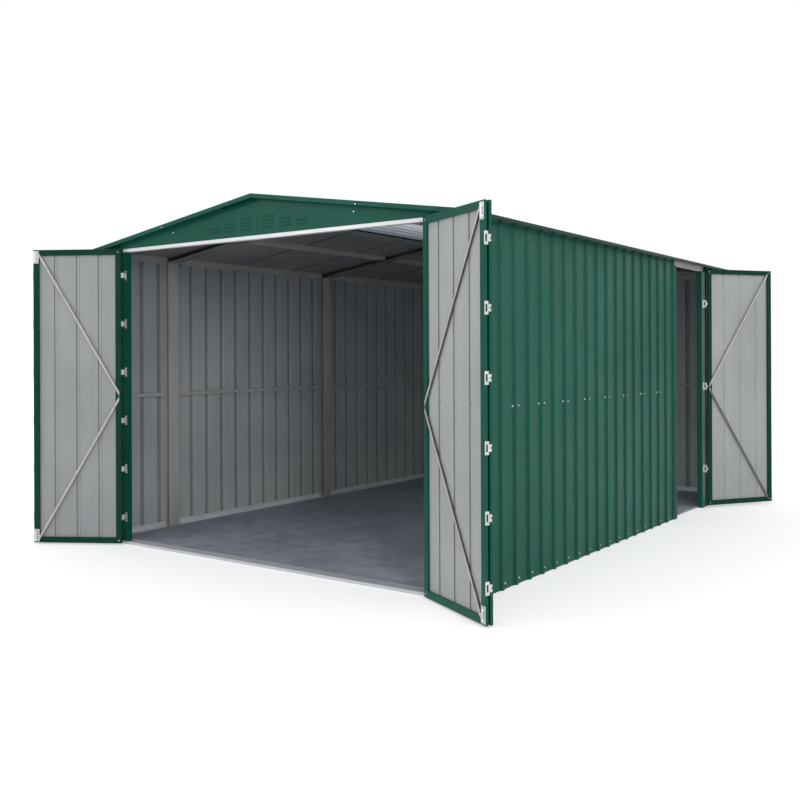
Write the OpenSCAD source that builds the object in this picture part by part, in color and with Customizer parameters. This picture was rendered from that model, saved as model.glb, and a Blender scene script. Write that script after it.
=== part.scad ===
// Metal garage with a low ridge roof, bi-fold front doors and a single side door.
// Units are millimetres. +X runs across, +Y runs from the front doors to the back
// wall, +Z is up, and the origin is on the ground at the middle of the footprint.

/* [Building] */
// Width over the rib crests of the two side walls
garage_w = 3070; // [2600:10:3700]
// Length over the rib crests of the two end walls
garage_l = 4620; // [4500:10:5600]
// Height of the side walls, up to the roof
eave_h = 2045; // [2040:5:2500]
// Rise of the roof from a side wall to the ridge
roof_rise = 235; // [150:5:500]
// How far the roof sheets pass the side walls
eave_overhang = 57; // [40:1:120]
// How far the roof passes the end walls
gable_overhang = 56; // [40:1:120]

/* [Wall sheets] */
// Thickness of every steel sheet
sheet_t = 2; // [1:0.5:3]
// Height of a wall rib
rib_h = 12; // [8:1:16]
// Distance from rib to rib
rib_pitch = 161; // [120:1:200]
// Width of a rib at its foot
rib_foot = 42; // [30:1:60]
// Width of a rib at its crest
rib_crest = 22; // [12:1:28]
// First rib's centre, from the front corner
first_rib = 28; // [24:1:60]

/* [Roof] */
// Width of one roof sheet, from standing rib to standing rib
roof_pitch = 650; // [400:10:800]
// Height of a standing rib
roof_rib_h = 14; // [10:1:20]
// Half the width of the ridge cap
cap_half = 300; // [200:5:400]
// Depth of the trim along the gables
barge_h = 26; // [22:1:60]

/* [Frame] */
// Number of portal frames
frame_count = 3; // [2:1:3]
// First frame's centre, from the front
first_frame = 620; // [400:10:900]
// Distance from frame to frame
frame_pitch = 1810; // [1600:10:1850]
// Width of a post or rafter
post_w = 100; // [60:5:120]
// Depth of a post or rafter
post_d = 40; // [30:1:60]
// Steel thickness of posts and rafters
post_t = 3; // [2:0.5:4]
// Height of the middle rail's underside
mid_rail_z = 1002; // [800:1:1200]
// Distance of a purlin from the ridge line
purlin_x = 790; // [600:10:1000]

/* [Floor] */
// Thickness of the floor slab
floor_t = 12; // [8:1:30]
// Depth of the threshold, front to back
threshold_d = 90; // [60:5:150]

/* [Front doors] */
// Clear width between the front jambs
door_w = 2500; // [2000:10:2520]
// Clear height under the header
door_h = 2028; // [1900:1:2030]
// Width of a front jamb
jamb_w = 38; // [30:1:60]
// Height of the folding leaves
leaf_h = 2040; // [1900:5:2100]
// Opening angle of the left pair of leaves
left_angle = 149; // [140:1:152]
// Opening angle of the right pair of leaves
right_angle = 152; // [140:1:152]

/* [Leaves] */
// Thickness of a leaf's frame with its sheet
leaf_t = 15; // [12:1:20]
// Width of a leaf's stiles and rails
stile_w = 40; // [30:1:60]
// Height of a leaf's ribs
leaf_rib_h = 5; // [3:0.5:5]
// Width of a brace strip
brace_w = 28; // [20:1:40]

/* [Side door] */
// Near side of the side doorway, from the front
side_door_y = 3140; // [2800:10:3150]
// Clear width of the side doorway
side_door_w = 620; // [560:10:640]
// Height of the side door's leaf
side_leaf_h = 2003; // [1800:1:2003]
// How far the side door stands open
side_angle = 145.5; // [90:0.5:160]

/* [Hidden] */
half_w = garage_w / 2;
half_l = garage_l / 2;
face_x = half_w - rib_h;              // outer flat face of the side sheets
in_x = face_x - sheet_t;              // inner face of the side sheets
face_y = half_l - rib_h;              // the same, for the end walls
in_y = face_y - sheet_t;
slope = roof_rise / half_w;
ridge_u = eave_h + roof_rise;         // underside of the roof at the ridge
eave_x = half_w + eave_overhang;      // end of the roof sheets
roof_y = half_l + gable_overhang;     // outer face of the barge trims
tilt = atan(slope);
roof_seat = 0.1;                      // play between the roof sheets and what carries them
roof_foot = 22;                       // foot and crest of a standing rib
roof_crest = 14;
roof_top = (sheet_t + roof_rib_h) / cos(tilt) + roof_seat; // top of a standing rib
cap_lap = 20;                         // how far the ridge cap laps the roof sheets
cap_swage_x = [70, 180];              // stiffening swages along the ridge cap
cap_swage_h = 3;
cap_swage_foot = 24;
cap_swage_crest = 14;
cap_under = roof_top + roof_seat;     // underside of the ridge cap over the roof's underside
barge_top = cap_under + sheet_t + cap_swage_h;
barge_lip = 40;                       // how far the barge trims lap the roof
trim_gap = 5;                         // from the roof sheets to the outside of the eave trims
trim_x = eave_x + trim_gap;
trim_lip = 28;                        // how far the eave trims reach under the roof
edge = 1;                             // how far a cut runs past a face
slit = 2;                             // gap between like pieces in one node

gable_z = door_h + 25;                // top of the header
gable_lap = 3;                        // how far the gables lap the header
threshold_h = 18;
base_d = 30;                          // foot of the base rail
base_h = 50;                          // upright of the base rail
angle_t = 3;                          // steel of the base rail
foot_h = floor_t + angle_t;
top_rail_d = 30;
top_rail_h = 42;
mid_rail_d = 22;
mid_rail_h = 25;
purlin_w = 40;
purlin_d = 30;
header_d = 40;
jamb_d = 40;
frame_y = [for (i = [0 : frame_count - 1]) -half_l + first_frame + i * frame_pitch];

leaf_gap = 8;                         // from a hinge pin to the leaf's edge
fold_gap = 12;                        // between the two folded leaves
jamb_half = door_w / 2 + jamb_w;      // outer side of a front jamb
pin_x = door_w / 2 + 15.5;            // pins of the front doors
pin_y = -half_l - 20;
leaf_z = 8;
meeting_gap = 5;                      // half the gap where the two pairs meet
leaf_a = pin_x / 2 - 5;               // the leaf on the jamb
leaf_b = pin_x - meeting_gap - leaf_gap - leaf_a - fold_gap;
leaf_ribs = 3;
leaf_rib_foot = 27;
leaf_rib_crest = 18;
brace_t = 2;
brace_lip = 9;                        // depth of the lip along each brace, towards the sheet
apex_inset = 14;                      // from a leaf's edge to where its braces meet

hinge_z = [for (i = [0 : 5]) leaf_z + leaf_h * (0.088 + 0.1645 * i)];
plate_h = 66;                         // hinge plate on the jamb or inner leaf
plate_w = 22;
plate_t = 2;
knuckle_h = 36;
knuckle_r = 4.5;
strap_w = 17;                         // plate on the folding leaf
strap_notch = 7;

near_jamb_w = 28;
far_jamb_w = 85;
side_jamb_d = rib_h + sheet_t + base_d; // flush with the base rails
near_y = -half_l + side_door_y;       // doorway's near edge
far_y = near_y + side_door_w;
side_pin_x = half_w + 21;
side_pin_y = far_y + 45;
side_leaf_w = side_pin_y - leaf_gap - near_y + 8;
side_leaf_z = 20;
side_hinge_z = [330, 1030, 1730];

bolt_w = 38;
bolt_h = 86;
bolt_t = 2.5;

green = [0.16, 0.36, 0.30];
dark_green = [0.08, 0.24, 0.19];
galvanised = [0.62, 0.64, 0.66];
frame_grey = [0.45, 0.43, 0.41];
light_steel = [0.78, 0.78, 0.80];
concrete = [0.34, 0.35, 0.38];

// Underside of the roof at a distance x from the ridge line
function roof_u(x) = ridge_u - slope * abs(x);

// Centres of the ribs that fit whole between lo and hi
function ribs_between(lo, hi) =
  [for (i = [0 : 60]) let (c = -half_l + first_rib + i * rib_pitch)
    if (c - rib_foot / 2 > lo && c + rib_foot / 2 < hi) c];

// Outline of one rib on a sheet, flat at y = 0 and raised to y = h
function rib(c, foot, crest, h) = [[c - foot / 2, 0], [c - crest / 2, h], [c + crest / 2, h], [c + foot / 2, 0]];

// Cross-section of a ribbed sheet from x = lo to x = hi, with its inner face below
module sheet_section(lo, hi, centres, foot, crest, h) {
  outer = concat([[lo, 0]], [for (c = centres) each rib(c, foot, crest, h)], [[hi, 0]]);
  inner = [for (i = [len(outer) - 1 : -1 : 0]) outer[i] - [0, sheet_t]];
  polygon(concat(outer, inner));
}

// Extrudes an outline drawn in X and Z along Y
module along_y(y0, y1) {
  translate([0, y1, 0]) rotate([90, 0, 0]) linear_extrude(y1 - y0) children();
}

// Band that follows the roof, between two heights over its underside, from x0 to x1
module roof_band(x0, x1, lo, hi) {
  polygon([[x0, roof_u(x0) + lo], [x1, roof_u(x1) + lo], [x1, roof_u(x1) + hi], [x0, roof_u(x0) + hi]]);
}

// Outline of everything under the roof, lowered by drop, above z0
module under_roof(z0, drop) {
  polygon([[-half_w, z0], [half_w, z0], [half_w, roof_u(half_w) - drop],
    [0, ridge_u - drop], [-half_w, roof_u(half_w) - drop]]);
}

// Both sides of the building from one
module both_sides() {
  children();
  mirror([1, 0, 0]) children();
}

module floor_slab() {
  color(concrete) translate([-in_x + base_d, -half_l + threshold_d, 0])
    cube([2 * (in_x - base_d), garage_l - threshold_d - rib_h - sheet_t - base_d, floor_t]);
}

module threshold() {
  color(light_steel) translate([-in_x, -half_l, 0]) cube([2 * in_x, threshold_d, threshold_h]);
}

// Angle section of the base rail against a wall whose inner face is at x = wall
module base_angle(wall) {
  polygon([[wall - base_d, 0], [wall, 0], [wall, base_h], [wall - angle_t, base_h],
    [wall - angle_t, foot_h], [wall - base_d, foot_h]]);
}

// One straight base rail on the right, notched where the posts stand
module side_base(y0, y1) {
  difference() {
    along_y(y0, y1) base_angle(in_x);
    for (y = frame_y)
      translate([in_x - base_d - edge, y - post_w / 2, foot_h]) cube([base_d + 2 * edge, post_w, base_h]);
  }
}

module base_rails() {
  color(galvanised) {
    mirror([1, 0, 0]) side_base(-half_l + threshold_d, in_y);
    side_base(-half_l + threshold_d, near_y - near_jamb_w);
    side_base(far_y + far_jamb_w, in_y);
    rotate([0, 0, 90]) along_y(-in_x + base_d + slit, in_x - base_d - slit) base_angle(in_y);
  }
}

module front_jambs() {
  color(green) both_sides() translate([door_w / 2, -half_l, threshold_h])
    cube([jamb_w, jamb_d, door_h - threshold_h]);
}

module header_track() {
  color(light_steel) translate([-jamb_half, -half_l, door_h])
    cube([2 * jamb_half, header_d, gable_z - door_h]);
}

// Narrow wall beside the front doors, on the right
module front_wall() {
  intersection() {
    mirror([0, 1, 0]) translate([0, face_y, threshold_h]) linear_extrude(gable_z - threshold_h)
      sheet_section(jamb_half, in_x, [(jamb_half + in_x) / 2], rib_foot, rib_crest, rib_h);
    along_y(-half_l - edge, half_l) under_roof(0, 0);
  }
}

// A stretch of side wall on the right, from y0 to y1
module side_wall(y0, y1) {
  translate([face_x, 0, 0]) mirror([0, 1, 0]) rotate([0, 0, -90]) linear_extrude(eave_h)
    sheet_section(y0, y1, ribs_between(y0, y1), rib_foot, rib_crest, rib_h);
}

module side_door_jambs() {
  color(green) for (place = [[near_y - near_jamb_w, near_jamb_w], [far_y, far_jamb_w]])
    translate([half_w - side_jamb_d, place[0], 0])
      cube([side_jamb_d, place[1], roof_u(in_x) - top_rail_h]);
}

// Back wall sheet, its ribs set out from the middle
module back_wall() {
  count = floor((in_x - rib_foot) / rib_pitch);
  color(green) intersection() {
    translate([0, face_y, 0]) linear_extrude(gable_z)
      sheet_section(-in_x, in_x, [for (i = [-count : count]) i * rib_pitch], rib_foot, rib_crest, rib_h);
    along_y(0, half_l + edge) under_roof(0, 0);
  }
}

// Flat gable sheet over the front doors, against the rib crests and the header
module gable() {
  foot = gable_z - gable_lap;
  gable_half = min((ridge_u - foot) / slope, in_x);
  color(green) along_y(-half_l - sheet_t, -half_l)
    polygon([[-gable_half, foot], [gable_half, foot], [gable_half, roof_u(gable_half)],
      [0, ridge_u], [-gable_half, roof_u(gable_half)]]);
}

// Cuts the places of the posts out of a side rail
module clear_of_posts() {
  difference() {
    children();
    for (y = frame_y)
      translate([-half_w, y - post_w / 2, 0]) cube([garage_w, post_w, ridge_u]);
  }
}

module top_rails() {
  foot = roof_u(in_x) - top_rail_h;
  color(frame_grey) {
    clear_of_posts() both_sides() along_y(-in_y, in_y)
      polygon([[in_x - top_rail_d, foot], [in_x, foot], [in_x, roof_u(in_x)],
        [in_x - top_rail_d, roof_u(in_x - top_rail_d)]]);
    translate([-in_x + top_rail_d + slit, in_y - top_rail_d, foot])
      cube([2 * (in_x - top_rail_d - slit), top_rail_d, top_rail_h]);
  }
}

// Middle rail on the right, from y0 to y1
module side_mid_rail(y0, y1) {
  translate([in_x - mid_rail_d, y0, mid_rail_z]) cube([mid_rail_d, y1 - y0, mid_rail_h]);
}

module mid_rails() {
  color(galvanised) {
    clear_of_posts() {
      mirror([1, 0, 0]) side_mid_rail(-in_y, in_y);
      side_mid_rail(-in_y, near_y - near_jamb_w);
      side_mid_rail(far_y + far_jamb_w, in_y);
    }
    translate([-in_x + mid_rail_d + slit, in_y - mid_rail_d, mid_rail_z])
      cube([2 * (in_x - mid_rail_d - slit), mid_rail_d, mid_rail_h]);
  }
}

// Channel posts on the right, open towards the front
module posts() {
  color(frame_grey) intersection() {
    for (y = frame_y) translate([in_x, y, foot_h]) linear_extrude(ridge_u) difference() {
      translate([-post_d, -post_w / 2]) square([post_d, post_w]);
      translate([-post_d + post_t, -post_w / 2 - edge]) square([post_d - 2 * post_t, post_w + edge - post_t]);
    }
    along_y(-half_l, half_l) under_roof(0, post_d);
  }
}

// Channel rafters on the right, open towards the front
module rafters() {
  color(frame_grey) for (y = frame_y) difference() {
    along_y(y - post_w / 2, y + post_w / 2) roof_band(0, in_x, -post_d, 0);
    along_y(y - post_w / 2 - edge, y + post_w / 2 - post_t)
      roof_band(post_t, in_x - post_t, -post_d + post_t, -post_t);
  }
}

module purlins() {
  color(frame_grey) clear_of_posts() both_sides() along_y(-in_y, in_y)
    roof_band(purlin_x - purlin_w / 2, purlin_x + purlin_w / 2, -purlin_d, 0);
}

// Roof sheets on the right, ribs running from the ridge down to the eave
module roof_slope() {
  start = (cap_half - cap_lap) / cos(tilt);
  end = roof_y - sheet_t;
  sheets = floor(2 * end / roof_pitch);
  seams = [for (i = [0 : sheets]) (i - sheets / 2) * roof_pitch];
  color(green) translate([0, 0, ridge_u + roof_seat]) rotate([0, tilt, 0]) rotate([90, 0, 90])
    translate([0, sheet_t, start]) linear_extrude(eave_x / cos(tilt) - start)
      sheet_section(-end, end, seams, roof_foot, roof_crest, roof_rib_h);
}

module ridge_cap() {
  folds = [for (x = cap_swage_x) each rib(x, cap_swage_foot, cap_swage_crest, cap_swage_h)];
  right = concat([[0, 0]], folds, [[cap_half, 0]]);
  line = concat([for (i = [len(right) - 1 : -1 : 1]) [-right[i][0], right[i][1]]], right);
  top = [for (p = line) [p[0], roof_u(p[0]) + cap_under + sheet_t + p[1]]];
  bottom = [for (i = [len(top) - 1 : -1 : 0]) top[i] - [0, sheet_t]];
  color(green) along_y(-roof_y + sheet_t, roof_y - sheet_t) polygon(concat(top, bottom));
}

// Folded trim over the front edge of the roof
module barge() {
  color(dark_green) {
    along_y(-roof_y, -roof_y + sheet_t) both_sides() roof_band(0, trim_x, barge_top - barge_h, barge_top);
    along_y(-roof_y, -roof_y + barge_lip) both_sides()
      roof_band(cap_half + slit, eave_x, cap_under, cap_under + sheet_t);
  }
}

module eave_trims() {
  inner = trim_x - sheet_t;
  lip_x = eave_x - trim_lip;
  color(dark_green) both_sides() along_y(-roof_y + sheet_t, roof_y - sheet_t)
    polygon([[lip_x, roof_u(lip_x) - sheet_t], [trim_x, roof_u(trim_x) - sheet_t],
      [trim_x, roof_u(trim_x) + roof_top], [inner, roof_u(inner) + roof_top],
      [inner, roof_u(inner)], [lip_x, roof_u(lip_x)]]);
}

// A leaf stands along +X from x0, its outer face at y = 0 and its inner face in front
module leaf_frame(x0, w, z0, h) {
  depth = leaf_t - sheet_t;
  color(dark_green) translate([x0, -leaf_t, z0]) difference() {
    cube([w, depth, h]);
    translate([stile_w, -edge, stile_w]) cube([w - 2 * stile_w, depth + 2 * edge, h - 2 * stile_w]);
  }
}

module leaf_sheet(x0, w, z0, h) {
  step = w / (leaf_ribs + 1);
  color(galvanised) translate([0, 0, z0]) linear_extrude(h)
    sheet_section(x0, x0 + w, [for (i = [1 : leaf_ribs]) x0 + i * step],
      leaf_rib_foot, leaf_rib_crest, leaf_rib_h);
}

// Outline of one brace, w wide, from half way up at x = near to the corner at x = far
module brace_outline(near, far, z0, h, side, w) {
  mid = z0 + h / 2;
  end = mid + side * (h - stile_w) / 2 - side * brace_w;
  polygon([[near, mid + side * slit / 2], [near, mid + side * (w + slit)],
    [far, end + side * w], [far, end]]);
}

// Two lipped strips from the corners at x = far to a meeting point at x = near, half way up
module leaf_braces(near, far, z0, h) {
  hollow = near + sign(far - near) * (stile_w - apex_inset + slit);
  color(galvanised) translate([0, -leaf_t, 0]) rotate([90, 0, 0]) for (side = [-1, 1]) {
    linear_extrude(brace_t) brace_outline(near, far, z0, h, side, brace_w);
    translate([0, 0, -brace_lip]) linear_extrude(brace_lip + brace_t) intersection() {
      brace_outline(near, far, z0, h, side, brace_t * 2);
      translate([min(hollow, far), z0 + stile_w + slit]) square([abs(far - hollow) - slit, h - 2 * (stile_w + slit)]);
    }
  }
}

// Places the jamb leaf of the right front door, turned open about its pin
module at_front_pin(angle) {
  translate([pin_x, pin_y, 0]) rotate([0, 0, angle - 180]) children();
}

// The second leaf, folded back against the first
module folded_back() {
  translate([0, fold_gap, 0]) mirror([0, 1, 0]) children();
}

fold_x = leaf_gap + leaf_a;           // fold end of both leaves
free_x = fold_x - leaf_b;             // free end of the second leaf

module front_frames(angle) {
  at_front_pin(angle) {
    leaf_frame(leaf_gap, leaf_a, leaf_z, leaf_h);
    folded_back() leaf_frame(free_x, leaf_b, leaf_z, leaf_h);
  }
}

module front_sheets(angle) {
  at_front_pin(angle) {
    leaf_sheet(leaf_gap, leaf_a, leaf_z, leaf_h);
    folded_back() leaf_sheet(free_x, leaf_b, leaf_z, leaf_h);
  }
}

module front_braces(angle) {
  at_front_pin(angle) {
    leaf_braces(leaf_gap + apex_inset, fold_x - stile_w, leaf_z, leaf_h);
    folded_back() leaf_braces(fold_x - apex_inset, free_x + stile_w, leaf_z, leaf_h);
  }
}

// Slotted plate of a hinge, lying in the plane x = 0 to plate_t, its knuckle side at y = 0
module slotted_plate() {
  difference() {
    translate([0, -plate_w, -plate_h / 2]) cube([plate_t, plate_w, plate_h]);
    translate([-edge, -plate_w + 6, -knuckle_h / 2]) cube([plate_t + 2 * edge, 10, knuckle_h]);
  }
}

module front_hinges(angle) {
  color(galvanised) for (z = hinge_z) {
    translate([0, 0, z]) at_front_pin(angle) {
      // fold hinge over the ends of both leaves
      translate([fold_x, fold_gap / 2, 0]) {
        slotted_plate();
        difference() {
          translate([0, -edge, -knuckle_h / 2]) cube([plate_t, strap_w, knuckle_h]);
          translate([-edge, strap_w - edge - strap_notch, -strap_notch / 2])
            cube([plate_t + 2 * edge, 2 * strap_notch, strap_notch]);
        }
      }
      // leaf side of the jamb hinge
      translate([leaf_gap - plate_t, -leaf_t + 1, -knuckle_h / 2]) cube([plate_t, leaf_t + 1, knuckle_h]);
      translate([0, -1.5, -knuckle_h / 2]) cube([leaf_gap - plate_t / 2, 3, knuckle_h]);
      translate([0, 0, -knuckle_h / 2]) cylinder(h = knuckle_h, r = knuckle_r, $fn = 32);
    }
    // jamb side of the jamb hinge
    translate([pin_x - plate_w + 6, -half_l - plate_t, z]) difference() {
      translate([0, 0, -plate_h / 2]) cube([plate_w, plate_t, plate_h]);
      translate([4, -edge, -knuckle_h / 2]) cube([6, plate_t + 2 * edge, knuckle_h]);
    }
    translate([pin_x - 2.5, pin_y, z - knuckle_h / 2 + edge])
      cube([5, -half_l - pin_y - plate_t / 2, knuckle_h - 2 * edge]);
  }
}

// Sliding bolt at the fold end of the jamb leaf, top and bottom
module front_bolts(angle) {
  color(light_steel) at_front_pin(angle)
    for (z = [leaf_z + 8, leaf_z + leaf_h - bolt_h - 8]) {
      translate([fold_x - bolt_w - 1, -leaf_t - bolt_t, z]) cube([bolt_w, bolt_t, bolt_h]);
      translate([fold_x - bolt_w / 2, -leaf_t - bolt_t - 5, z + 6]) cylinder(h = bolt_h - 12, r = 6, $fn = 32);
    }
}

// Places the side door's leaf, drawn along +X, turned open about its pin
module at_side_pin() {
  translate([side_pin_x, side_pin_y, 0]) rotate([0, 0, side_angle - 90]) children();
}

// Fixed half of each side hinge: a plate on the jamb and two knuckles
module side_hinge_plates() {
  reach = side_pin_x - half_w;
  color(galvanised) for (z = side_hinge_z) translate([0, side_pin_y, z]) {
    translate([half_w, -plate_w - 6, -plate_h / 2]) cube([plate_t, plate_w + 12, plate_h]);
    for (s = [-1, 1]) translate([0, 0, s * (plate_h / 4 + 5)]) {
      translate([half_w, -3, -9]) cube([reach, 6, 18]);
      translate([side_pin_x, 0, -9]) cylinder(h = 18, r = knuckle_r, $fn = 32);
    }
  }
}

// Moving half: the middle knuckle and a plate on the leaf's edge
module side_door_knuckles() {
  h = 2 * (plate_h / 4 + 5 - 9) - 1;
  color(galvanised) at_side_pin() for (z = side_hinge_z) translate([0, 0, z]) {
    translate([0, 0, -h / 2]) cylinder(h = h, r = knuckle_r, $fn = 32);
    translate([0, -knuckle_r, -h / 2]) cube([leaf_gap, 2 * knuckle_r - 3, h]);
    translate([leaf_gap - plate_t, -leaf_t + 1, -h / 2]) cube([plate_t, leaf_t, h]);
  }
}

floor_slab();  // floor
threshold();
base_rails();
front_jambs();
header_track();
color(green) mirror([1, 0, 0]) front_wall();  // front_wall_left
color(green) front_wall();  // front_wall_right
color(green) mirror([1, 0, 0]) side_wall(-half_l, half_l);  // left_wall
color(green) side_wall(-half_l, near_y - near_jamb_w);  // right_wall_front
color(green) side_wall(far_y + far_jamb_w, half_l);  // right_wall_back
side_door_jambs();
back_wall();
gable();  // front_gable
mirror([0, 1, 0]) gable();  // back_gable
top_rails();
mid_rails();
mirror([1, 0, 0]) posts();  // left_posts
posts();  // right_posts
mirror([1, 0, 0]) rafters();  // left_rafters
rafters();  // right_rafters
purlins();
mirror([1, 0, 0]) roof_slope();  // left_roof
roof_slope();  // right_roof
ridge_cap();
barge();  // front_barge
mirror([0, 1, 0]) barge();  // back_barge
eave_trims();
mirror([1, 0, 0]) front_frames(left_angle);  // left_leaf_frames
mirror([1, 0, 0]) front_sheets(left_angle);  // left_leaf_sheets
mirror([1, 0, 0]) front_braces(left_angle);  // left_leaf_braces
front_frames(right_angle);  // right_leaf_frames
front_sheets(right_angle);  // right_leaf_sheets
front_braces(right_angle);  // right_leaf_braces
mirror([1, 0, 0]) front_hinges(left_angle);  // left_hinges
front_hinges(right_angle);  // right_hinges
union() { front_bolts(right_angle); mirror([1, 0, 0]) front_bolts(left_angle); }  // door_bolts
side_hinge_plates();
at_side_pin()  // side_door_frame
  leaf_frame(leaf_gap, side_leaf_w, side_leaf_z, side_leaf_h);
at_side_pin()  // side_door_sheet
  leaf_sheet(leaf_gap, side_leaf_w, side_leaf_z, side_leaf_h);
at_side_pin()  // side_door_braces
  leaf_braces(leaf_gap + apex_inset, leaf_gap + side_leaf_w - stile_w, side_leaf_z, side_leaf_h);
side_door_knuckles();
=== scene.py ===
from math import atan, radians

import bpy
from mathutils import Matrix, Vector


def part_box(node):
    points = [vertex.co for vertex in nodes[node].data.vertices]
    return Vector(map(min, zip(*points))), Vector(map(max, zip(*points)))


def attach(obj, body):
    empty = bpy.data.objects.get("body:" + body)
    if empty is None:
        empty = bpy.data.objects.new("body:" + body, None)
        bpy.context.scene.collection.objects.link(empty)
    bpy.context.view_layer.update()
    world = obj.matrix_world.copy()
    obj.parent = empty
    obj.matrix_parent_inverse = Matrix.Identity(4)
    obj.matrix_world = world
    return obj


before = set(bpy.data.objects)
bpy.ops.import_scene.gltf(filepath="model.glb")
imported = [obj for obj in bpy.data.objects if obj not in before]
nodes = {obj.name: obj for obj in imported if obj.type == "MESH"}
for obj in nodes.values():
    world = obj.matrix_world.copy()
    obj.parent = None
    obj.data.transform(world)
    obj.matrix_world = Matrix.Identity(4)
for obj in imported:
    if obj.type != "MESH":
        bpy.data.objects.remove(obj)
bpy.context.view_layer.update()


# ---------------------------------------------------------------------------
# Floor slab
# Smooth concrete cast inside the walls, level with the foot of the base rails.
# Trowel marks and slow drying leave it blue-grey and mottled, finely speckled.
# ---------------------------------------------------------------------------

def new_finish(name, colour, roughness, metallic=0.0, gloss=0.5):
    finish = bpy.data.materials.new(name)
    finish.use_nodes = True
    shader = finish.node_tree.nodes["Principled BSDF"]
    shader.inputs["Base Color"].default_value = (*colour, 1.0)
    shader.inputs["Roughness"].default_value = roughness
    shader.inputs["Metallic"].default_value = metallic
    shader.inputs["Specular IOR Level"].default_value = gloss
    return finish, finish.node_tree, shader


def grain(tree, scale, detail=3.0, stretch=(1, 1, 1)):
    """Noise that stays on the piece, in the piece's own metres."""
    place = tree.nodes.new("ShaderNodeTexCoord")
    mapping = tree.nodes.new("ShaderNodeMapping")
    mapping.inputs["Scale"].default_value = stretch
    noise = tree.nodes.new("ShaderNodeTexNoise")
    noise.inputs["Scale"].default_value = scale
    noise.inputs["Detail"].default_value = detail
    tree.links.new(place.outputs["Object"], mapping.inputs["Vector"])
    tree.links.new(mapping.outputs["Vector"], noise.inputs["Vector"])
    return noise.outputs["Fac"]


def shades(tree, factor, dark, light, low=0.35, high=0.65):
    """Turns a factor into a colour between two shades."""
    ramp = tree.nodes.new("ShaderNodeValToRGB")
    ramp.color_ramp.elements[0].position = low
    ramp.color_ramp.elements[0].color = (*dark, 1.0)
    ramp.color_ramp.elements[1].position = high
    ramp.color_ramp.elements[1].color = (*light, 1.0)
    tree.links.new(factor, ramp.inputs["Fac"])
    return ramp.outputs["Color"]


def blend_colours(tree, factor, first, second, kind="MIX"):
    mix = tree.nodes.new("ShaderNodeMix")
    mix.data_type = "RGBA"
    mix.blend_type = kind
    colour_sockets = [s for s in mix.inputs if s.type == "RGBA"]
    if isinstance(factor, float):
        mix.inputs[0].default_value = factor
    else:
        tree.links.new(factor, mix.inputs[0])
    tree.links.new(first, colour_sockets[0])
    tree.links.new(second, colour_sockets[1])
    return [s for s in mix.outputs if s.type == "RGBA"][0]


def vary_roughness(tree, shader, factor, low, high):
    span = tree.nodes.new("ShaderNodeMapRange")
    span.inputs["From Min"].default_value = 0.3
    span.inputs["From Max"].default_value = 0.7
    span.inputs["To Min"].default_value = low
    span.inputs["To Max"].default_value = high
    tree.links.new(factor, span.inputs["Value"])
    tree.links.new(span.outputs["Result"], shader.inputs["Roughness"])


def add_bumps(tree, shader, factor, depth, strength=0.5):
    bump = tree.nodes.new("ShaderNodeBump")
    bump.inputs["Distance"].default_value = depth
    bump.inputs["Strength"].default_value = strength
    tree.links.new(factor, bump.inputs["Height"])
    tree.links.new(bump.outputs["Normal"], shader.inputs["Normal"])


def wear(finish, *names):
    """Gives carried-over nodes their finish."""
    for name in names:
        slots = nodes[name].data.materials
        slots.clear()
        slots.append(finish)


concrete, tree, shader = new_finish("trowelled concrete", (0.34, 0.365, 0.43), 0.7)
clouds = shades(tree, grain(tree, 1.3, 7.0), (0.33, 0.355, 0.42), (0.455, 0.48, 0.55), 0.34, 0.66)
patches = shades(tree, grain(tree, 9.0, 6.0), (0.80, 0.80, 0.81), (1.0, 1.0, 1.0), 0.36, 0.60)
speckle = shades(tree, grain(tree, 110.0, 4.0), (0.62, 0.62, 0.62), (1.0, 1.0, 1.0), 0.38, 0.60)
mottled = blend_colours(tree, 1.0, clouds, patches, "MULTIPLY")
mottled = blend_colours(tree, 0.6, mottled, speckle, "MULTIPLY")
tree.links.new(mottled, shader.inputs["Base Color"])
vary_roughness(tree, shader, grain(tree, 5.0, 4.0), 0.5, 0.8)
add_bumps(tree, shader, grain(tree, 90.0, 6.0), 0.002, 0.4)
wear(concrete, "floor")


# ---------------------------------------------------------------------------
# Threshold and base rails
# A pale steel strip closes the front of the floor, and galvanised angles run
# along the walls. Hex nuts on anchor studs hold the angles down to the concrete.
# ---------------------------------------------------------------------------

def galvanised_finish(name, dark, light, cell=110.0, roughness=(0.28, 0.48), metallic=0.75):
    """Hot-dip zinc: flat crystals of a few millimetres, each a slightly other grey."""
    finish, tree, shader = new_finish(name, light, 0.4, metallic)
    place = tree.nodes.new("ShaderNodeTexCoord")
    crystals = tree.nodes.new("ShaderNodeTexVoronoi")
    crystals.inputs["Scale"].default_value = cell
    tree.links.new(place.outputs["Object"], crystals.inputs["Vector"])
    grey = tree.nodes.new("ShaderNodeSeparateColor")
    tree.links.new(crystals.outputs["Color"], grey.inputs["Color"])
    spangle = shades(tree, grey.outputs["Red"], dark, light, 0.0, 1.0)
    dull = shades(tree, grain(tree, 3.0, 4.0), (0.82, 0.82, 0.83), (1.0, 1.0, 1.0))
    tree.links.new(blend_colours(tree, 1.0, spangle, dull, "MULTIPLY"), shader.inputs["Base Color"])
    vary_roughness(tree, shader, grey.outputs["Red"], *roughness)
    add_bumps(tree, shader, grain(tree, 160.0), 0.0006, 0.3)
    return finish


def deselect():
    bpy.ops.object.select_all(action="DESELECT")


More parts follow.
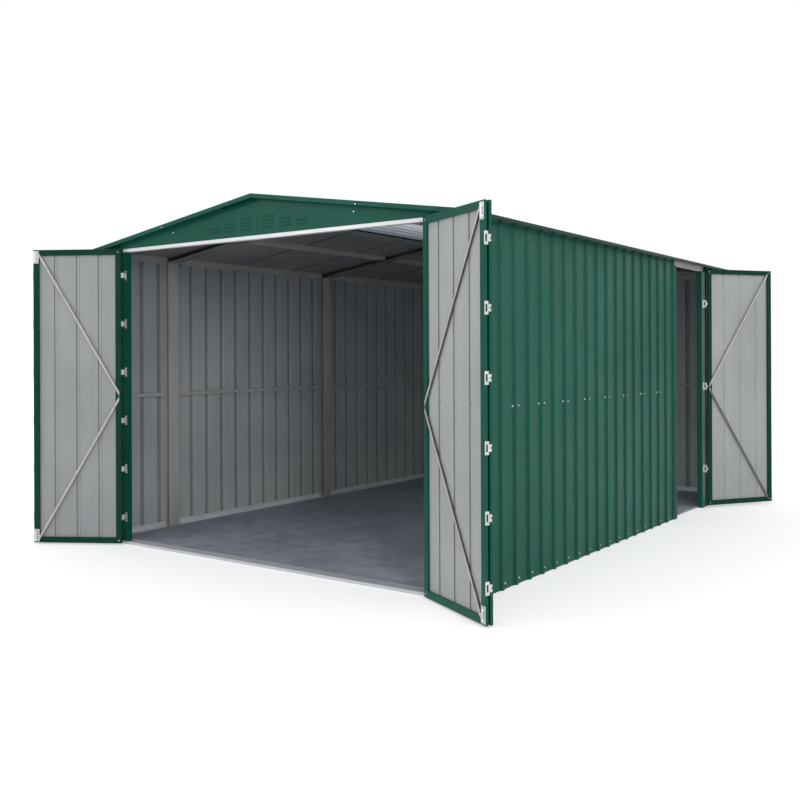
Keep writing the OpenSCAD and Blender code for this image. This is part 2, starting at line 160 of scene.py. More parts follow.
def pick(piece, kind, wanted):
    """Selects the faces or edges whose middles pass a test, in edit mode."""
    bpy.ops.object.mode_set(mode="EDIT")
    bpy.ops.mesh.select_mode(type=kind)
    bpy.ops.mesh.select_all(action="DESELECT")
    bpy.ops.object.mode_set(mode="OBJECT")
    for item in piece.data.polygons if kind == "FACE" else piece.data.edges:
        corners = [piece.data.vertices[i].co for i in item.vertices]
        item.select = wanted(sum(corners, Vector()) / len(corners))
    bpy.ops.object.mode_set(mode="EDIT")


def add_block(name, size, middle):
    deselect()
    bpy.ops.mesh.primitive_cube_add(size=1, location=middle, scale=size)
    piece = bpy.context.object
    piece.name = name
    bpy.ops.object.transform_apply(location=True, rotation=True, scale=True)
    return piece


def add_round(name, radius, height, middle, sides=16):
    deselect()
    bpy.ops.mesh.primitive_cylinder_add(vertices=sides, radius=radius, depth=height, location=middle)
    piece = bpy.context.object
    piece.name = name
    bpy.ops.object.transform_apply(location=True, rotation=True, scale=True)
    return piece


def soften(piece, width, segments=1, angle=30):
    """Rounds every sharp edge of a piece and applies it."""
    deselect()
    piece.select_set(True)
    bpy.context.view_layer.objects.active = piece
    bevel = piece.modifiers.new("soften", "BEVEL")
    bevel.width = width
    bevel.segments = segments
    bevel.limit_method = "ANGLE"
    bevel.angle_limit = radians(angle)
    bpy.ops.object.modifier_apply(modifier=bevel.name)


def copies_of(pattern, name, moves, finish, body="garage"):
    """Sets copies of a modelled piece at their places and joins them into one."""
    made = []
    for move in moves:
        copy = pattern.copy()
        copy.data = pattern.data.copy()
        bpy.context.scene.collection.objects.link(copy)
        copy.data.transform(move)
        if move.determinant() < 0:
            copy.data.flip_normals()
        made.append(copy)
    deselect()
    for copy in made:
        copy.select_set(True)
    bpy.context.view_layer.objects.active = made[0]
    if len(made) > 1:
        bpy.ops.object.join()
    piece = made[0]
    piece.name = name
    if finish:
        piece.data.materials.clear()
        piece.data.materials.append(finish)
    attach(piece, body)
    return piece


def facing(place, way):
    """Move that stands a piece drawn upright at the origin out of a surface."""
    turn = Vector((0, 0, 1)).rotation_difference(Vector(way)).to_matrix().to_4x4()
    return Matrix.Translation(Vector(place)) @ turn


def discard(*patterns):
    for pattern in patterns:
        bpy.data.objects.remove(pattern)


pale_steel, tree, shader = new_finish("pale strip steel", (0.62, 0.64, 0.68), 0.42, 0.25)
brushed = shades(tree, grain(tree, 30.0, 4.0, (1, 12, 12)), (0.52, 0.54, 0.58), (0.70, 0.72, 0.76))
tree.links.new(brushed, shader.inputs["Base Color"])
vary_roughness(tree, shader, grain(tree, 9.0), 0.34, 0.5)
add_bumps(tree, shader, grain(tree, 60.0, 3.0, (1, 8, 8)), 0.0005, 0.2)
wear(pale_steel, "threshold")

# Painted light: the base rails' zinc is paler than the other zinc, for light catching the rails along the
# floor.
rail_zinc_in_painted_light = galvanised_finish("rail zinc in painted light", (0.76, 0.78, 0.80), (0.90, 0.91, 0.93), 90.0, (0.4, 0.55), 0.2)
wear(rail_zinc_in_painted_light, "base_rails")

bolt_steel, tree, shader = new_finish("bright plated steel", (0.74, 0.75, 0.76), 0.3, 0.8)
tree.links.new(shades(tree, grain(tree, 120.0), (0.62, 0.63, 0.65), (0.82, 0.83, 0.84)),
               shader.inputs["Base Color"])
vary_roughness(tree, shader, grain(tree, 200.0), 0.24, 0.4)

rails_low, rails_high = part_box("base_rails")
floor_low, floor_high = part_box("floor")
rail_foot = 0.030
foot_top = 0.015
anchor_gap = 0.60

washer = add_round("anchor pattern", 0.011, 0.002, (0, 0, 0.001), 16)
pick(washer, "FACE", lambda c: c.z > 0.0019)
bpy.ops.mesh.inset(thickness=0.0032)
bpy.ops.mesh.extrude_region_move(TRANSFORM_OT_translate={"value": (0, 0, 0.007)})
bpy.ops.mesh.inset(thickness=0.0035)
bpy.ops.mesh.extrude_region_move(TRANSFORM_OT_translate={"value": (0, 0, 0.005)})
bpy.ops.object.mode_set(mode="OBJECT")
soften(washer, 0.0006)

spots = []
run = floor_high.y - floor_low.y
end_gap = 0.10
count = int(run / anchor_gap)
for i in range(count + 1):
    y = floor_low.y + end_gap + i * (run - 2 * end_gap) / count
    spots.append((rails_low.x + 0.5 * rail_foot, y, foot_top))
    spots.append((rails_high.x - 0.5 * rail_foot, y, foot_top))
for x in (-1.2, -0.6, 0.0, 0.6, 1.2):
    spots.append((x, rails_high.y - 0.5 * rail_foot, foot_top))
jambs_low, jambs_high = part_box("side_door_jambs")
doorway = (jambs_low.y - 0.02, jambs_high.y + 0.02)
posts_y = [-1.69, 0.12, 1.93]
post_clear = 0.07
side_run_x = 1.3
spots = [s for s in spots if not (s[0] > side_run_x and doorway[0] < s[1] < doorway[1])
         and all(abs(s[1] - y) > post_clear or abs(s[0]) < side_run_x for y in posts_y)]
copies_of(washer, "floor_anchors", [facing(s, (0, 0, 1)) for s in spots], bolt_steel)
discard(washer)


# ---------------------------------------------------------------------------
# Wall sheets
# Roll-formed steel, green outside and pale grey inside, screwed to the rails
# beside the ribs at the foot and at half height. The back is screwed at the
# eave as well.
# ---------------------------------------------------------------------------

green_dark = (0.002, 0.082, 0.055)
green_light = (0.003, 0.097, 0.066)
grey_dark = (0.40, 0.43, 0.45)
grey_light = (0.48, 0.51, 0.53)


def along(tree, source, way):
    """How far the place or the normal reaches along a direction."""
    place = tree.nodes.new("ShaderNodeTexCoord")
    dot = tree.nodes.new("ShaderNodeVectorMath")
    dot.operation = "DOT_PRODUCT"
    dot.inputs[1].default_value = way
    tree.links.new(place.outputs[source], dot.inputs[0])
    return dot.outputs["Value"]


def sized(tree, value, kind, limit=0.0):
    """A value put through one sum, such as ABSOLUTE or GREATER_THAN."""
    step = tree.nodes.new("ShaderNodeMath")
    step.operation = kind
    step.inputs[1].default_value = limit
    tree.links.new(value, step.inputs[0])
    return step.outputs["Value"]


def side_by_normal(tree, outward):
    """1 on faces that look outwards and on cut edges, 0 on the back of the sheet."""
    return sized(tree, along(tree, "Normal", outward), "GREATER_THAN", -0.2)


def paint_colour(tree, dark, light):
    """Stoved paint, very slightly cloudy over a sheet."""
    broad = shades(tree, grain(tree, 1.1, 3.0), dark, light)
    fine = shades(tree, grain(tree, 45.0, 3.0), (0.93, 0.93, 0.93), (1.0, 1.0, 1.0))
    return blend_colours(tree, 1.0, broad, fine, "MULTIPLY")


def coat_colour(tree, dark, light):
    """Pale backing coat with faint streaks along the sheet from the rolls."""
    broad = shades(tree, grain(tree, 1.4, 4.0), dark, light)
    streaks = shades(tree, grain(tree, 14.0, 4.0, (1, 1, 0.06)), (0.95, 0.95, 0.955), (1.0, 1.0, 1.0))
    return blend_colours(tree, 1.0, broad, streaks, "MULTIPLY")


def past_gables(tree):
    """1 beyond the two gables, 0 between them."""
    return sized(tree, sized(tree, along(tree, "Object", (0, 1, 0)), "ABSOLUTE"), "GREATER_THAN", 2.311)


def either(tree, first, second):
    top = tree.nodes.new("ShaderNodeMath")
    top.operation = "MAXIMUM"
    tree.links.new(first, top.inputs[0])
    tree.links.new(second, top.inputs[1])
    return top.outputs["Value"]


def coated_sheet(name, outward, inside_dark=grey_dark, inside_light=grey_light,
                 rib_from=None, rib_shade=0.6):
    """Paint outside, backing coat inside. The backing coat is darkened in the hollows of the ribs and towards
    the top of the wall, as painted shade.
    """
    finish, tree, shader = new_finish(name, green_light, 0.38, 0.0, 0.15)
    side = side_by_normal(tree, outward)
    inside = coat_colour(tree, inside_dark, inside_light)
    if rib_from is not None:
        # Painted shade: the backing coat is darker inside the ribs' hollows.
        hollow = sized(tree, along(tree, "Object", outward), "GREATER_THAN", rib_from)
        hollow = shades(tree, hollow, (1.0, 1.0, 1.0), (rib_shade, rib_shade, rib_shade), 0.0, 1.0)
        inside = blend_colours(tree, 1.0, inside, hollow, "MULTIPLY")
        # Painted shade: the backing coat grows darker from the floor up towards the eave.
        rise = sized(tree, along(tree, "Object", (0, 0, 1)), "MULTIPLY", 0.5)
        rise = shades(tree, rise, (1.0, 1.0, 0.98), (0.74, 0.75, 0.77), 0.1, 0.9)
        inside = blend_colours(tree, 1.0, inside, rise, "MULTIPLY")
    if outward[2] > 0.5:
        side = either(tree, side, past_gables(tree))
    outside = paint_colour(tree, green_dark, green_light)
    tree.links.new(blend_colours(tree, side, inside, outside), shader.inputs["Base Color"])
    vary_roughness(tree, shader, grain(tree, 2.5, 4.0), 0.34, 0.46)
    add_bumps(tree, shader, grain(tree, 420.0, 2.0), 0.0004, 0.12)
    return finish


wall_x = 1.523
wall_y = 2.298
wall_dark = (0.45, 0.48, 0.495)
wall_light = (0.54, 0.57, 0.58)
rib_start = 0.001
wear(coated_sheet("right wall coat", (1, 0, 0), wall_dark, wall_light, wall_x + rib_start),
     "right_wall_front", "right_wall_back")
wear(coated_sheet("left wall coat", (-1, 0, 0), wall_dark, wall_light, wall_x + rib_start), "left_wall")
wear(coated_sheet("back wall coat", (0, 1, 0), wall_dark, wall_light, wall_y + rib_start), "back_wall")
wear(coated_sheet("front wall coat", (0, -1, 0)), "front_wall_left", "front_wall_right")

screw = add_round("screw pattern", 0.0062, 0.0014, (0, 0, 0.0007), 12)
pick(screw, "FACE", lambda c: c.z > 0.0013)
bpy.ops.mesh.inset(thickness=0.0020)
bpy.ops.mesh.extrude_region_move(TRANSFORM_OT_translate={"value": (0, 0, 0.0034)})
bpy.ops.object.mode_set(mode="OBJECT")
soften(screw, 0.0007)

rivet = add_round("rivet pattern", 0.0042, 0.0012, (0, 0, 0.0006), 12)
pick(rivet, "FACE", lambda c: c.z > 0.0011)
bpy.ops.mesh.inset(thickness=0.0013)
bpy.ops.mesh.extrude_region_move(TRANSFORM_OT_translate={"value": (0, 0, 0.0008)})
bpy.ops.object.mode_set(mode="OBJECT")
soften(rivet, 0.0004)


def crest_middles(name, across, along):
    """Middles of a sheet's ribs, from the corners that stand furthest out."""
    corners = [v.co for v in nodes[name].data.vertices]
    reach = max(abs(c[across]) for c in corners)
    edges = sorted({round(c[along], 4) for c in corners if abs(c[across]) > reach - 0.0002})
    return [(edges[i] + edges[i + 1]) / 2 for i in range(0, len(edges) - 1, 2)]


rib_half = 0.035
sheet_end = 0.05
mid_rail_z = 1.0145
foot_screw_z = 0.032
eave_screw_z = 2.020

for name, way in (("left_wall", -1), ("right_wall_front", 1), ("right_wall_back", 1)):
    low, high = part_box(name)
    spots = []
    for i, y in enumerate(crest_middles(name, 0, 1)):
        if low.y + sheet_end < y < high.y - sheet_end:
            if i % 2:
                for side in (-rib_half, rib_half):
                    spots.append(facing((way * wall_x, y + side, mid_rail_z), (way, 0, 0)))
            spots.append(facing((way * wall_x, y + rib_half, foot_screw_z), (way, 0, 0)))
    copies_of(screw, name + "_screws", spots, bolt_steel)

spots = []
for i, x in enumerate(crest_middles("back_wall", 1, 0)):
    for z in (foot_screw_z, mid_rail_z, eave_screw_z):
        spots.append(facing((x + rib_half, wall_y, z), (0, 1, 0)))
copies_of(screw, "back_wall_screws", spots, bolt_steel)


# ---------------------------------------------------------------------------
# Door jambs and header
# Folded steel boxes beside each doorway, painted green. A pale aluminium
# track spans the front doorway at the foot of the gable.
# ---------------------------------------------------------------------------

def painted_steel(name, dark, light, gloss, cloud, low, high):
    finish, tree, shader = new_finish(name, light, 0.38, 0.0, gloss)
    tree.links.new(paint_colour(tree, dark, light), shader.inputs["Base Color"])
    vary_roughness(tree, shader, grain(tree, cloud, 4.0), low, high)
    add_bumps(tree, shader, grain(tree, 420.0, 2.0), 0.0004, 0.12)
    return finish


green_paint = painted_steel("green paint", green_dark, green_light, 0.15, 2.5, 0.34, 0.46)
wear(green_paint, "front_jambs", "side_door_jambs")

track, tree, shader = new_finish("pale track", (0.80, 0.80, 0.82), 0.4, 0.1)
tree.links.new(shades(tree, grain(tree, 20.0, 3.0, (0.3, 6, 6)), (0.74, 0.74, 0.77), (0.85, 0.85, 0.87)),
               shader.inputs["Base Color"])
vary_roughness(tree, shader, grain(tree, 8.0), 0.34, 0.46)
wear(track, "header_track")


# ---------------------------------------------------------------------------
# Portal frames, rails and purlins
# Cold-rolled channel with a warm grey coat, bolted together at the knees.
# Angle brackets carry the purlins, and bolts hold the posts to the floor.
# ---------------------------------------------------------------------------

frame_coat, tree, shader = new_finish("warm grey coat", (0.44, 0.435, 0.43), 0.5)
broad = shades(tree, grain(tree, 2.2, 4.0), (0.41, 0.405, 0.40), (0.50, 0.495, 0.49))
rolled = shades(tree, grain(tree, 40.0, 4.0, (1, 1, 0.08)), (0.90, 0.90, 0.90), (1.0, 1.0, 1.0))
tree.links.new(blend_colours(tree, 1.0, broad, rolled, "MULTIPLY"), shader.inputs["Base Color"])
vary_roughness(tree, shader, grain(tree, 12.0, 4.0), 0.42, 0.6)
add_bumps(tree, shader, grain(tree, 150.0, 3.0), 0.0004, 0.2)
wear(frame_coat, "left_posts", "right_posts", "purlins", "top_rails", "mid_rails")

# Painted shade: the rafters carry the posts' warm grey coat, painted much darker for the shade under the roof.
rafter_coat_in_painted_shade, tree, shader = new_finish("rafter coat in painted shade", (0.20, 0.19, 0.185), 0.55)
tree.links.new(shades(tree, grain(tree, 2.6, 4.0), (0.17, 0.163, 0.158), (0.23, 0.222, 0.215)),
               shader.inputs["Base Color"])
vary_roughness(tree, shader, grain(tree, 12.0, 4.0), 0.48, 0.64)
add_bumps(tree, shader, grain(tree, 150.0, 3.0), 0.0004, 0.2)
wear(rafter_coat_in_painted_shade, "left_rafters", "right_rafters")

half_post = 0.050
post_face = 1.521 - 0.040
bolt_across = 0.028
spots = []
for y in posts_y:
    for way in (-1, 1):
        for across in (-bolt_across, bolt_across):
            for z in (0.060, 1.900, 1.950):
                spots.append(facing((way * post_face, y + across, z), (-way, 0, 0)))
copies_of(screw, "frame_bolts", spots, frame_coat)

purlin_x = 0.790
ridge_z = 2.280
roof_slope = 0.1531
purlin_foot = ridge_z - roof_slope * purlin_x - 0.030
bracket_gap = 0.0005
bracket_rise = 0.010
bracket = add_block("bracket pattern", (0.050, 0.003, 0.034), (0, 0.0015, 0.006))
pick(bracket, "FACE", lambda c: c.z < -0.010)
bpy.ops.mesh.extrude_region_move(TRANSFORM_OT_translate={"value": (0, 0, -0.003)})
pick(bracket, "FACE", lambda c: c.z < -0.0112 and c.y > 0.0029)
bpy.ops.mesh.extrude_region_move(TRANSFORM_OT_translate={"value": (0, 0.045, 0)})
bpy.ops.object.mode_set(mode="OBJECT")
soften(bracket, 0.0008)
moves = []
for y in posts_y:
    for way in (-1, 1):
        for end in (-1, 1):
            place = (way * purlin_x, y + end * (half_post + bracket_gap), purlin_foot + bracket_rise)
            moves.append(Matrix.Translation(place) @ Matrix.Diagonal((1, end, 1, 1)))
# Painted shade: the zinc of the purlin brackets and knee plates is painted near-black for the shade up at the
# knees under the roof.
zinc_in_painted_shade = galvanised_finish("bracket zinc in painted shade", (0.16, 0.16, 0.165), (0.24, 0.24, 0.245), 120.0)
copies_of(bracket, "purlin_brackets", moves, zinc_in_painted_shade)

knee = 0.052
knee_cut = knee * 0.72
knee_x = 1.4895
rail_foot_z = 2.0050
knee_plate = add_block("knee pattern", (0.003, knee, knee), (0, knee / 2, -knee / 2))
pick(knee_plate, "EDGE", lambda c: abs(c.x) < 0.001 and c.y > knee * 0.9 and c.z < -knee * 0.9)
bpy.ops.transform.translate(value=(0, -knee_cut, knee_cut))
bpy.ops.object.mode_set(mode="OBJECT")
soften(knee_plate, 0.0006)
moves = [Matrix.Translation((way * knee_x, y + half_post, rail_foot_z)) for y in posts_y for way in (-1, 1)]
copies_of(knee_plate, "knee_plates", moves, zinc_in_painted_shade)
discard(bracket, knee_plate)


# ---------------------------------------------------------------------------
# Roof sheets, ridge cap and trims
# Green steel with standing ribs every 650 mm. Below, the backing coat is painted
# darker as painted shade, nearly black in the rib hollows. The ridge cap is bare
# zinc below, painted bright pale blue partly as a painted reflection, with lines of
# painted shade: under it the pans are turned up between the ribs, and stops close
# its ends. Folded trims finish the gables and the eaves.
# ---------------------------------------------------------------------------

pan_level = 2.2542
# Painted shade: the roof's backing coat is darker than the walls', and nearly black inside the rib hollows.
for roof, way in (("left", -1), ("right", 1)):
    coat = coated_sheet(roof + " roof coat", (way * 0.151, 0, 0.988), (0.28, 0.285, 0.29), (0.36, 0.365, 0.37),
                        pan_level, 0.08)
    wear(coat, roof + "_roof")

cap_coat, tree, shader = new_finish("ridge cap coat", green_light, 0.38, 0.0, 0.15)
side = either(tree, side_by_normal(tree, (0, 0, 1)), past_gables(tree))
# Bare zinc underneath, painted pale blue-white: partly the zinc's own colour, partly a painted reflection.
under = shades(tree, grain(tree, 30.0, 3.0, (6, 0.3, 1)), (0.76, 0.82, 0.90), (0.88, 0.94, 1.0))
# Painted shade: dark lines every 60 mm across the underside stand in for shade in its pressed lines.
from_ridge = sized(tree, along(tree, "Object", (1, 0, 0)), "ABSOLUTE")
rolls = sized(tree, from_ridge, "PINGPONG", 0.030)
painted_roll_line_shade = shades(tree, rolls, (0.30, 0.31, 0.33), (1.0, 1.0, 1.0), 0.004, 0.009)
under = blend_colours(tree, 1.0, under, painted_roll_line_shade, "MULTIPLY")
tree.links.new(blend_colours(tree, side, under, paint_colour(tree, green_dark, green_light)),
               shader.inputs["Base Color"])
vary_roughness(tree, shader, grain(tree, 6.0), 0.34, 0.46)
wear(cap_coat, "ridge_cap")

# The same green paint, darkened as painted shade, for the eave trims, the left leaf frames, the side door frame
# and the louvre undersides.
shaded_green_dark = (0.001, 0.042, 0.027)
shaded_green_light = (0.002, 0.052, 0.034)
green_paint_in_painted_shade = painted_steel("green paint in painted shade", shaded_green_dark, shaded_green_light, 0.12, 3.0, 0.36, 0.48)
wear(green_paint, "front_barge", "back_barge")
wear(green_paint_in_painted_shade, "eave_trims")

cap_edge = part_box("ridge_cap")[1].x
seam_gap = 0.650
seams = [(i - 3.5) * seam_gap for i in range(8)]
end_seam = 0.02
rib_top = 0.0163
cap_top = 0.0184
cap_screw_x = 0.27
cap_screw_gap = 0.53
spots = []
for way in (-1, 1):
    normal = (way * 0.151, 0, 0.988)
    for y in seams[1:-1] + [seams[0] + end_seam, seams[-1] - end_seam]:
        for x in (0.42, 0.79, 1.15, 1.50):
            spots.append(facing((way * x, y, ridge_z - roof_slope * x + rib_top), normal))
    for i in range(9):
        y = (i - 4) * cap_screw_gap
        spots.append(facing((way * cap_screw_x, y, ridge_z - roof_slope * cap_screw_x + cap_top), normal))
copies_of(screw, "roof_screws", spots, green_paint)

bay = seam_gap - 0.026
end_bay = 0.072
end_bay_y = 2.3265
upstand_x = cap_edge - 0.010
upstand_z = ridge_z - roof_slope * upstand_x + 0.0089
upstand = add_block("upstand pattern", (0.0015, bay, 0.0146), (0, 0, 0))
soften(upstand, 0.0004)
moves = []
for way in (-1, 1):
    lean = Matrix.Rotation(way * atan(roof_slope), 4, "Y")
    for i in range(7):
        moves.append(Matrix.Translation((way * upstand_x, (i - 3) * seam_gap, upstand_z)) @ lean)
    for end in (-1, 1):
        moves.append(Matrix.Translation((way * upstand_x, end * end_bay_y, upstand_z)) @ lean
                     @ Matrix.Diagonal((1, end_bay / bay, 1, 1)))
copies_of(upstand, "pan_upstands", moves, green_paint)

stop_y = 2.3090
end_stop = add_block("end stop pattern", (cap_edge - 0.002, 0.0015, 0.046), (cap_edge / 2, 0, -0.0062))
soften(end_stop, 0.0004)
moves = [Matrix.Translation((0, end * stop_y, ridge_z)) @ Matrix.Diagonal((way, 1, 1, 1))
         @ Matrix.Rotation(atan(roof_slope), 4, "Y") for way in (-1, 1) for end in (-1, 1)]
copies_of(end_stop, "cap_end_stops", moves, green_paint)
discard(upstand, end_stop)


# ---------------------------------------------------------------------------
# Gables
# Flat green sheets above the door header and the back wall. Pressed louvres
# stand in six columns either side of a lapped seam, with screws near the ends.
# ---------------------------------------------------------------------------

wear(coated_sheet("front gable coat", (0, -1, 0)), "front_gable")
wear(coated_sheet("back gable coat", (0, 1, 0)), "back_gable")

louvre_w = 0.092
louvre_h = 0.011
louvre_d = 0.0045
louvre_pitch = 0.0225
louvre_foot = 2.094
gable_face = 2.312

hood = add_block("louvre pattern", (louvre_w, louvre_d, louvre_h), (0, -louvre_d / 2, 0))
pick(hood, "EDGE", lambda c: c.z > louvre_h * 0.45 and c.y < -louvre_d * 0.9)
bpy.ops.transform.translate(value=(0, louvre_d * 0.8, 0))
pick(hood, "FACE", lambda c: abs(c.x) > louvre_w * 0.45)
bpy.ops.transform.resize(value=(0.96, 1, 1))
bpy.ops.object.mode_set(mode="OBJECT")
soften(hood, 0.0012, 2)
hood.data.materials.append(green_paint)
hood.data.materials.append(green_paint_in_painted_shade)
# Painted shade: the louvres' undersides take the darkened green, for the shade in their openings.
for face in hood.data.polygons:
    face.material_index = 1 if face.normal.z < -0.8 else 0

columns = ((0.094, 4), (0.236, 3), (0.365, 2))
for gable, way in (("front", 1), ("back", -1)):
    moves = []
    for x, rows in columns:
        for side in (-1, 1):
            for row in range(rows):
                place = (side * x, -way * gable_face, louvre_foot + row * louvre_pitch)
                moves.append(Matrix.Translation(place) @ Matrix.Diagonal((1, way, 1, 1)))
    copies_of(hood, gable + "_louvres", moves, None)
discard(hood)

seam_w = 0.014
seam_t = 0.0012
barge_face = 2.366
for gable, way in (("front", -1), ("back", 1)):
    low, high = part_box(gable + "_gable")
    height = high.z - low.z - 0.016
    lap = add_block(gable + "_gable_lap", (seam_w, seam_t, height),
                    (0, way * (gable_face + seam_t / 2), low.z + 0.004 + height / 2))
    soften(lap, 0.0004)
    lap.data.materials.append(green_paint)
    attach(lap, "garage")
    spots = []
    for side in (-1, 1):
        spots.append(facing((side * 0.764, way * gable_face, 2.126), (0, way, 0)))
        if gable == "front":
            spots.append(facing((side * 0.818, way * barge_face, 2.158), (0, way, 0)))
    copies_of(rivet, gable + "_gable_screws", spots, bolt_steel)


# ---------------------------------------------------------------------------
# Front folding doors
# Each leaf is a green steel frame around a ribbed grey sheet, with two flat
# braces meeting at half height. Pairs of leaves fold back against each other.
# ---------------------------------------------------------------------------

pin = Vector((1.2655, -2.330, 0))
leaf_start = 0.008
leaf_w = 0.62775
inner_leaf_w = 0.61275
fold_x = leaf_start + leaf_w
leaf_depth = 0.015
fold_gap = 0.012
leaf_foot = 0.008
leaf_tall = 2.040
free_x = fold_x - inner_leaf_w
half_stile = 0.020


def leaf_move(hand, open_angle):
    """Takes a leaf drawn along +X from its pin to where it stands, by hand."""
    stand = Matrix.Translation(pin) @ Matrix.Rotation(radians(open_angle - 180), 4, "Z")
    return Matrix.Diagonal((hand, 1, 1, 1)) @ stand


def leaf_sheet_finish(name, move, dark, light, flank_shade):
    """Grey towards the inside of both folded leaves, green between them. The flanks of the grooves on the grey
    side are darkened as painted shade.
    """
    finish, tree, shader = new_finish(name, grey_light, 0.4, 0.0, 0.2)
    outward = (move.to_3x3() @ Vector((0, 1, 0))).normalized()
    fold_line = move @ Vector((0, fold_gap / 2, 0))
    past_fold = sized(tree, along(tree, "Object", outward), "SUBTRACT", fold_line.dot(outward))
    normal = along(tree, "Normal", outward)
    product = tree.nodes.new("ShaderNodeMath")
    product.operation = "MULTIPLY"
    tree.links.new(past_fold, product.inputs[0])
    tree.links.new(normal, product.inputs[1])
    side = sized(tree, product.outputs["Value"], "LESS_THAN", 0.0001)
    # Painted shade: faces that turn sideways in the grooves are darkened.
    flank = shades(tree, sized(tree, normal, "ABSOLUTE"), flank_shade, (1.0, 1.0, 1.0), 0.80, 0.96)
    inside = blend_colours(tree, 1.0, coat_colour(tree, dark, light), flank, "MULTIPLY")
    outside = paint_colour(tree, green_dark, green_light)
    tree.links.new(blend_colours(tree, side, inside, outside), shader.inputs["Base Color"])
    vary_roughness(tree, shader, grain(tree, 2.5, 4.0), 0.36, 0.5)
    add_bumps(tree, shader, grain(tree, 300.0, 2.0), 0.0004, 0.15)
    return finish


def brace_finish(name, way, lower=1.0):
    """Warm grey flats whose turned-in lips are darkened as painted shade, and a lower arm that may be darkened
    as painted shade too.
    """
    finish, tree, shader = new_finish(name, (0.50, 0.47, 0.45), 0.45, 0.3)
    face = sized(tree, along(tree, "Normal", way), "ABSOLUTE")
    # Painted shade: faces turned side-on to the leaf, the lips, are darkened.
    lip = shades(tree, face, (0.16, 0.16, 0.165), (1.0, 1.0, 1.0), 0.70, 0.90)
    steel = shades(tree, grain(tree, 25.0, 4.0), (0.46, 0.435, 0.415), (0.58, 0.55, 0.525))
    # Painted shade: below about 1 m the arm is darkened.
    if lower < 1.0:
        arm = shades(tree, along(tree, "Object", (0, 0, 1)), (lower, lower, lower), (1.0, 1.0, 1.0), 0.995, 1.0)
        steel = blend_colours(tree, 1.0, steel, arm, "MULTIPLY")
    tree.links.new(blend_colours(tree, 1.0, steel, lip, "MULTIPLY"), shader.inputs["Base Color"])
    vary_roughness(tree, shader, grain(tree, 50.0), 0.38, 0.52)
    return finish


hinge_zinc = galvanised_finish("hinge zinc", (0.58, 0.58, 0.575), (0.76, 0.76, 0.75), 260.0)
first_hinge = 0.088
hinge_pitch = 0.1645
hinge_z = [leaf_foot + leaf_tall * (first_hinge + hinge_pitch * i) for i in range(6)]
bolt_plate_w = 0.038
bolt_plate_h = 0.086
bolt_face = leaf_depth + 0.0025
barrel_y = -bolt_face - 0.005
bolt_x = fold_x - bolt_plate_w / 2
collar_back = 0.0032
collar_inset = 0.018
knob_back = 0.004

collar = add_round("collar pattern", 0.0085, 0.010, (0, 0, 0), 20)
pick(collar, "FACE", lambda c: abs(c.z) > 0.0049)
bpy.ops.mesh.inset(thickness=0.0015)
bpy.ops.transform.resize(value=(1, 1, 0.8))
bpy.ops.object.mode_set(mode="OBJECT")
soften(collar, 0.0006)
knob = add_round("knob pattern", 0.0034, 0.014, (0, 0, 0.007), 14)
pick(knob, "FACE", lambda c: c.z > 0.0139)
bpy.ops.mesh.extrude_region_move(TRANSFORM_OT_translate={"value": (0, 0, 0.002)})
bpy.ops.transform.resize(value=(1.6, 1.6, 1))
bpy.ops.mesh.extrude_region_move(TRANSFORM_OT_translate={"value": (0, 0, 0.005)})
bpy.ops.object.mode_set(mode="OBJECT")
soften(knob, 0.0008, 2)

groove_floor = 0.003
rivet_rise = 0.036
# Backing coat dark and light, and the painted shade on groove flanks, for each pair. The left pair's coat is
# the same as the right's, painted darker as painted shade.
leaf_coats_and_painted_shade = {"left": ((0.33, 0.345, 0.352), (0.38, 0.395, 0.402), (0.58, 0.58, 0.59)),
              "right": ((0.42, 0.437, 0.442), (0.475, 0.49, 0.495), (0.40, 0.40, 0.41))}
dull_rivet, tree, shader = new_finish("dull rivets", (0.22, 0.22, 0.225), 0.5, 0.3)
tree.links.new(shades(tree, grain(tree, 90.0), (0.17, 0.17, 0.175), (0.27, 0.27, 0.275)),
               shader.inputs["Base Color"])

